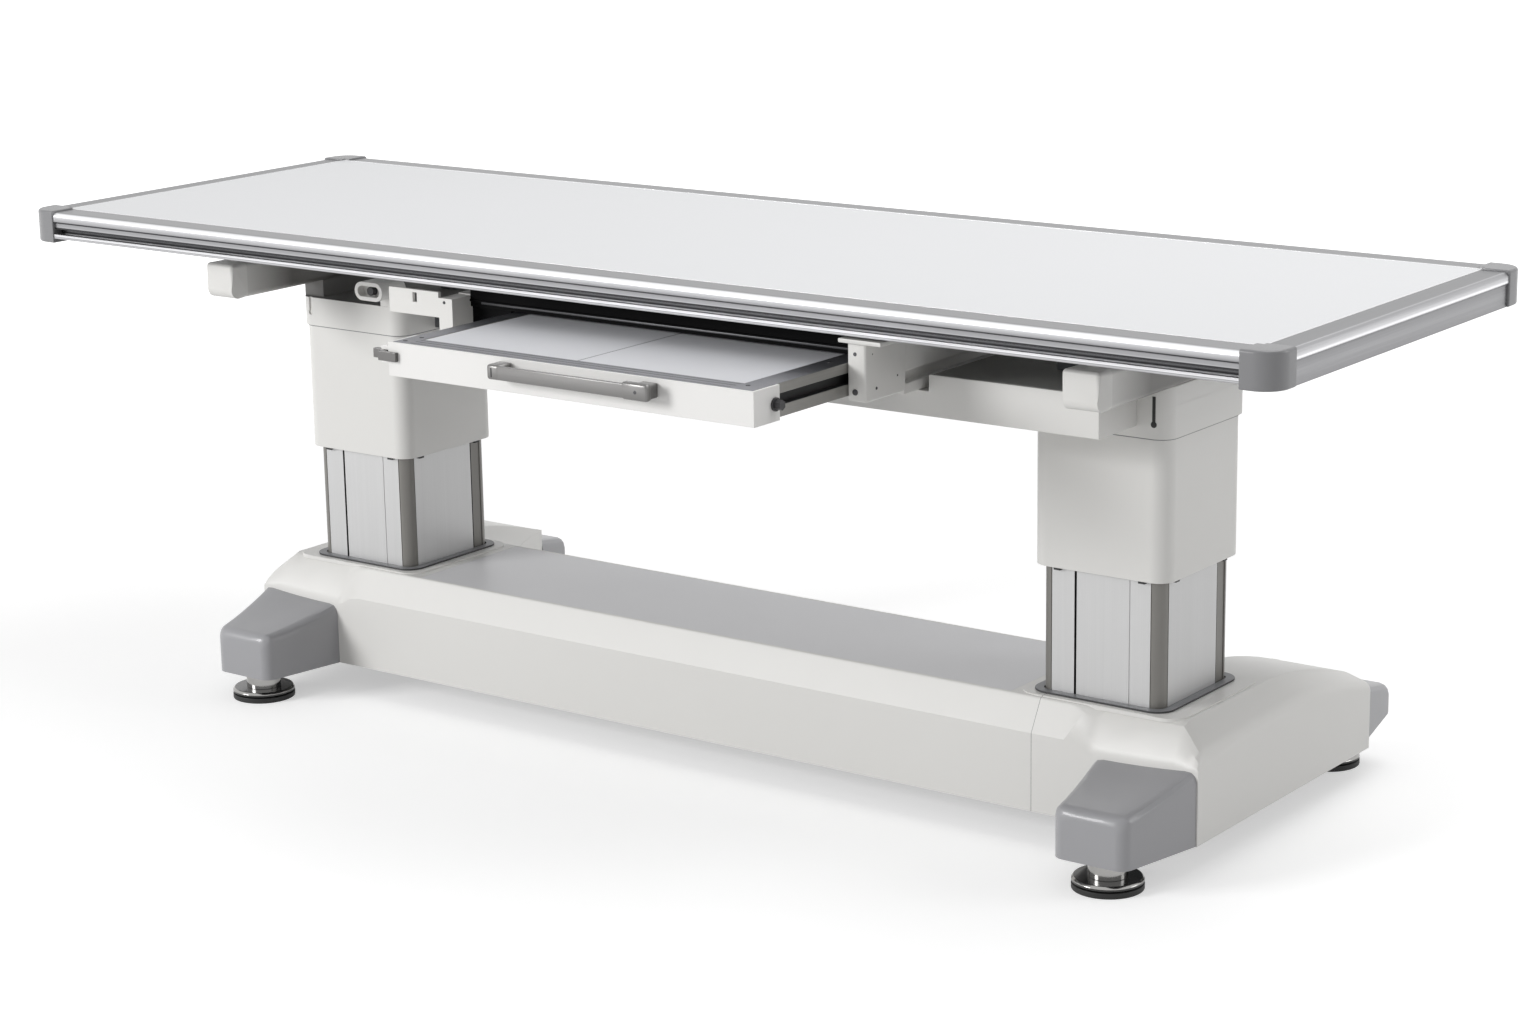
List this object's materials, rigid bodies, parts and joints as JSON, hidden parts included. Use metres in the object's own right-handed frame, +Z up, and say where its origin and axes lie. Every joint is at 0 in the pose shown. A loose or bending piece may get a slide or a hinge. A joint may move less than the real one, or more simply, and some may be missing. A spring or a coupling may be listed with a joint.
{
  "type": "radiography table",
  "caption": "Elevating radiography table: four-way floating top on telescopic columns, with a sliding bucky and a pull-out cassette tray on a wide base with levelling feet.",
  "frame": {"origin": "on the floor under the centre of the whole outline at rest", "axes": "+X along the table to the right as seen from the tray's side, +Y from the tray's side to the rear, +Z up"},
  "size_m": [2.2, 1.034, 0.7725],
  "materials": {
    "warm_white_paint": "satin powder coat",
    "white_laminate": "smooth laminate",
    "brushed_aluminium": "satin anodised",
    "plate_grey": "satin",
    "cap_grey": "moulded, matte",
    "foot_grey": "moulded, matte",
    "chrome": "polished",
    "frame_steel": "matte primer",
    "dark_steel": "matte",
    "bronze": "machined",
    "black_paint": "matte",
    "black_plastic": "matte",
    "black_rubber": "matte",
    "gasket_rubber": "matte"
  },
  "bodies": {
    "base": {"base_frame": "frame_steel", "base_cover_left": "warm_white_paint", "base_cover_right": "warm_white_paint", "spine_top_plate": "plate_grey", "foot_cover_front_left": "foot_grey", "foot_cover_front_right": "foot_grey", "foot_cover_rear_left": "foot_grey", "foot_cover_rear_right": "foot_grey", "column_gaskets": "gasket_rubber", "column_profile_left": "brushed_aluminium", "column_profile_right": "brushed_aluminium", "lift_motors": "dark_steel"},
    "foot_front_left": {"levelling_foot_front_left": "chrome", "foot_pad_front_left": "black_rubber"},
    "foot_front_right": {"levelling_foot_front_right": "chrome", "foot_pad_front_right": "black_rubber"},
    "foot_rear_left": {"levelling_foot_rear_left": "chrome", "foot_pad_rear_left": "black_rubber"},
    "foot_rear_right": {"levelling_foot_rear_right": "chrome", "foot_pad_rear_right": "black_rubber"},
    "spindle_left": {"lift_spindle_left": "chrome"},
    "spindle_right": {"lift_spindle_right": "chrome"},
    "lift": {"spindle_nuts": "bronze", "inner_columns": "brushed_aluminium", "column_sleeve_left": "warm_white_paint", "column_sleeve_right": "warm_white_paint", "guide_pads": "black_plastic", "column_head_left": "warm_white_paint", "column_head_right": "warm_white_paint", "cross_beams": "warm_white_paint", "beam_end_caps": "warm_white_paint", "control_box": "warm_white_paint", "control_box_lid": "black_plastic", "tie_beam": "frame_steel", "rail_posts": "frame_steel", "bucky_rails": "chrome", "lock_magnet": "warm_white_paint", "magnet_core": "black_plastic"},
    "carriage": {"carriage_saddles": "frame_steel", "carriage_ties": "frame_steel"},
    "roller_front_left": {"top_roller_front_left": "black_plastic"},
    "roller_front_right": {"top_roller_front_right": "black_plastic"},
    "roller_rear_left": {"top_roller_rear_left": "black_plastic"},
    "roller_rear_right": {"top_roller_rear_right": "black_plastic"},
    "top": {"top_panel": "white_laminate", "rim_front": "brushed_aluminium", "rim_rear": "brushed_aluminium", "rim_ends": "brushed_aluminium", "corner_caps": "cap_grey", "top_rails": "brushed_aluminium"},
    "bucky": {"bucky_housing": "black_paint", "scatter_grid": "brushed_aluminium", "bucky_bracket_left": "warm_white_paint", "bucky_bracket_right": "warm_white_paint"},
    "tray": {"tray_front": "warm_white_paint", "tray_frame": "brushed_aluminium", "cassette": "white_laminate", "tray_handle": "brushed_aluminium"},
    "latch": {"tray_latch": "brushed_aluminium"},
    "knob": {"tray_knob": "black_plastic"}
  },
  "joints": [
    {"name": "foot_front_left_height", "type": "slide", "parent": "base", "child": "foot_front_left", "axis": [0, 0, 1], "range_m": [-0.008, 0.008]},
    {"name": "foot_front_right_height", "type": "slide", "parent": "base", "child": "foot_front_right", "axis": [0, 0, 1], "range_m": [-0.008, 0.008]},
    {"name": "foot_rear_left_height", "type": "slide", "parent": "base", "child": "foot_rear_left", "axis": [0, 0, 1], "range_m": [-0.008, 0.008]},
    {"name": "foot_rear_right_height", "type": "slide", "parent": "base", "child": "foot_rear_right", "axis": [0, 0, 1], "range_m": [-0.008, 0.008]},
    {"name": "table_lift", "type": "slide", "parent": "base", "child": "lift", "axis": [0, 0, 1], "range_m": [-0.17, 0.045]},
    {"name": "spindle_left_turn", "type": "hinge", "parent": "base", "child": "spindle_left", "pos_m": [-0.654, 0.067, 0.25], "axis": [0, 0, 1], "range_deg": [-6130, 1630]},
    {"name": "spindle_right_turn", "type": "hinge", "parent": "base", "child": "spindle_right", "pos_m": [0.706, 0.067, 0.25], "axis": [0, 0, 1], "range_deg": [-6130, 1630]},
    {"name": "top_cross_slide", "type": "slide", "parent": "lift", "child": "carriage", "axis": [0, 1, 0], "range_m": [-0.124, 0.116]},
    {"name": "top_long_slide", "type": "slide", "parent": "carriage", "child": "top", "axis": [1, 0, 0], "range_m": [-0.214, 0.266]},
    {"name": "roller_front_left_turn", "type": "hinge", "parent": "carriage", "child": "roller_front_left", "pos_m": [-0.7415, -0.209, 0.74], "axis": [0, 1, 0], "range_deg": [-1420, 1765]},
    {"name": "roller_front_right_turn", "type": "hinge", "parent": "carriage", "child": "roller_front_right", "pos_m": [0.7935, -0.209, 0.74], "axis": [0, 1, 0], "range_deg": [-1420, 1765]},
    {"name": "roller_rear_left_turn", "type": "hinge", "parent": "carriage", "child": "roller_rear_left", "pos_m": [-0.7415, 0.351, 0.74], "axis": [0, 1, 0], "range_deg": [-1420, 1765]},
    {"name": "roller_rear_right_turn", "type": "hinge", "parent": "carriage", "child": "roller_rear_right", "pos_m": [0.7935, 0.351, 0.74], "axis": [0, 1, 0], "range_deg": [-1420, 1765]},
    {"name": "bucky_slide", "type": "slide", "parent": "lift", "child": "bucky", "axis": [1, 0, 0], "range_m": [-0.2, 0]},
    {"name": "tray_slide", "type": "slide", "parent": "bucky", "child": "tray", "axis": [0, 1, 0], "range_m": [-0.22, 0.135]},
    {"name": "tray_latch_turn", "type": "hinge", "parent": "tray", "child": "latch", "pos_m": [-0.166, -0.474, 0.67], "axis": [0, 0, 1], "range_deg": [-70, 0]},
    {"name": "tray_knob_turn", "type": "hinge", "parent": "tray", "child": "knob", "pos_m": [0.471, -0.443, 0.666], "axis": [1, 0, 0], "range_deg": [-180, 180]}
  ],
  "couplings": [
    {"joint": "spindle_left_turn", "follows": "table_lift", "rad_per_m": 628.32},
    {"joint": "spindle_right_turn", "follows": "table_lift", "rad_per_m": 628.32},
    {"joint": "roller_front_left_turn", "follows": "top_long_slide", "rad_per_m": 114.94},
    {"joint": "roller_front_right_turn", "follows": "top_long_slide", "rad_per_m": 114.94},
    {"joint": "roller_rear_left_turn", "follows": "top_long_slide", "rad_per_m": 114.94},
    {"joint": "roller_rear_right_turn", "follows": "top_long_slide", "rad_per_m": 114.94}
  ]
}
